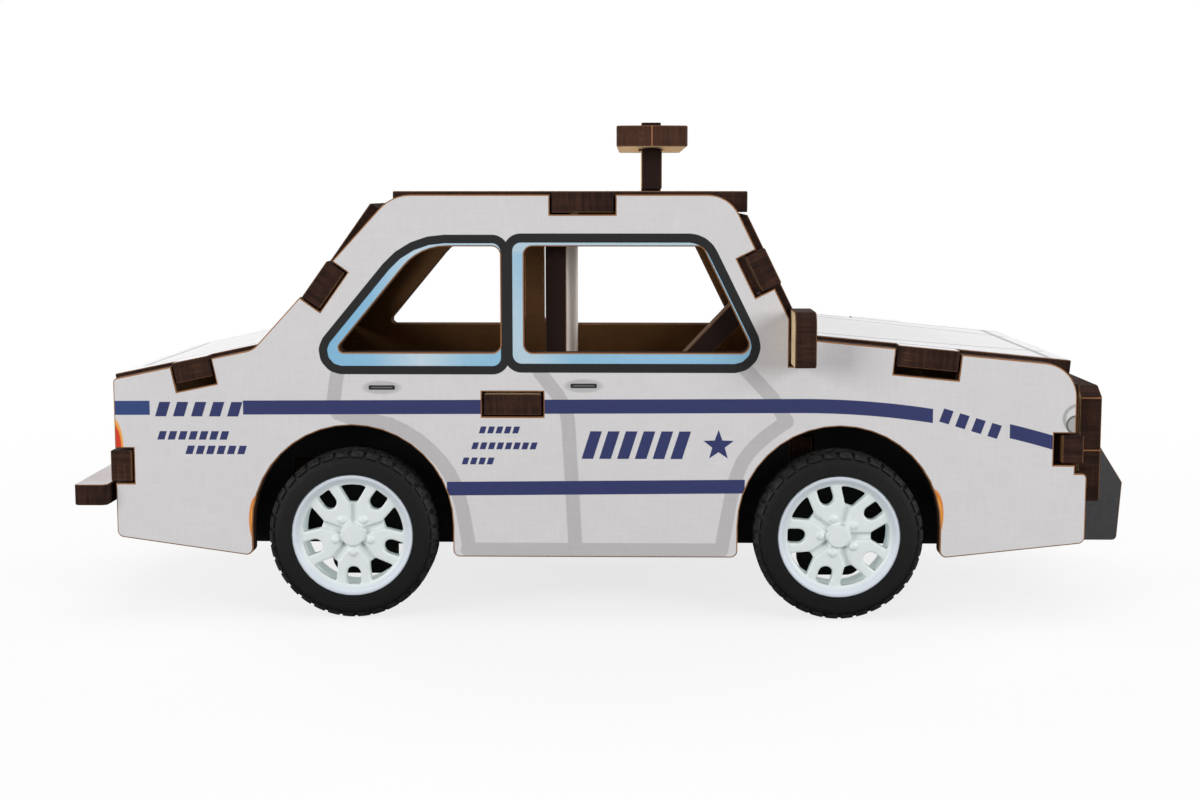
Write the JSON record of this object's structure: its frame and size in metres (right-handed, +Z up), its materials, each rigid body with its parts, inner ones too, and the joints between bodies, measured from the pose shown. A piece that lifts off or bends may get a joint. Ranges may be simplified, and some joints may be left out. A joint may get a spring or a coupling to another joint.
{
  "type": "wooden toy police car",
  "caption": "Flat-pack toy patrol car of laser-cut plywood boards slotted together by tabs, with a roof light bar, rolling on steel axles with plastic wheels.",
  "frame": {"origin": "on the ground under the middle of the car's whole length and width", "axes": "+X forward to the push bars, +Y to the car's left, +Z up"},
  "size_m": [0.1544, 0.0726, 0.0719],
  "materials": {
    "printed_ply": "plywood with a satin white print on the outer face and scorched cut edges",
    "dark_ply": "plywood printed dark grey",
    "raw_ply": "bare birch plywood with scorched cut edges",
    "axle_steel": "drawn steel pin",
    "rim_plastic": "white moulded plastic",
    "tyre_rubber": "black moulded tyre"
  },
  "bodies": {
    "body": {"right_side_panel": "printed_ply", "left_side_panel": "printed_ply", "roof_panel": "printed_ply", "windscreen_panel": "printed_ply", "rear_window_panel": "printed_ply", "boot_lid": "printed_ply", "bonnet": "printed_ply", "nose_panel": "printed_ply", "grille_plate": "printed_ply", "push_bar_right": "dark_ply", "push_bar_left": "dark_ply", "tail_panel": "printed_ply", "rear_bumper": "printed_ply", "mirror_board": "printed_ply", "partition": "raw_ply", "dash_strut": "raw_ply", "light_bar": "printed_ply", "light_bar_post": "raw_ply", "floor_deck": "raw_ply", "chassis_rail_right": "dark_ply", "chassis_rail_left": "dark_ply", "front_cross_plate": "raw_ply", "rear_cross_plate": "raw_ply"},
    "front_wheels": {"front_axle": "axle_steel", "front_right_rim": "rim_plastic", "front_left_rim": "rim_plastic", "front_right_tyre": "tyre_rubber", "front_left_tyre": "tyre_rubber"},
    "rear_wheels": {"rear_axle": "axle_steel", "rear_right_rim": "rim_plastic", "rear_left_rim": "rim_plastic", "rear_right_tyre": "tyre_rubber", "rear_left_tyre": "tyre_rubber"}
  },
  "joints": [
    {"name": "front_axle_spin", "type": "hinge", "parent": "body", "child": "front_wheels", "pos_m": [0.03324, 0, 0.0122], "axis": [0, 1, 0], "continuous": true},
    {"name": "rear_axle_spin", "type": "hinge", "parent": "body", "child": "rear_wheels", "pos_m": [-0.03676, 0, 0.0122], "axis": [0, 1, 0], "continuous": true}
  ]
}
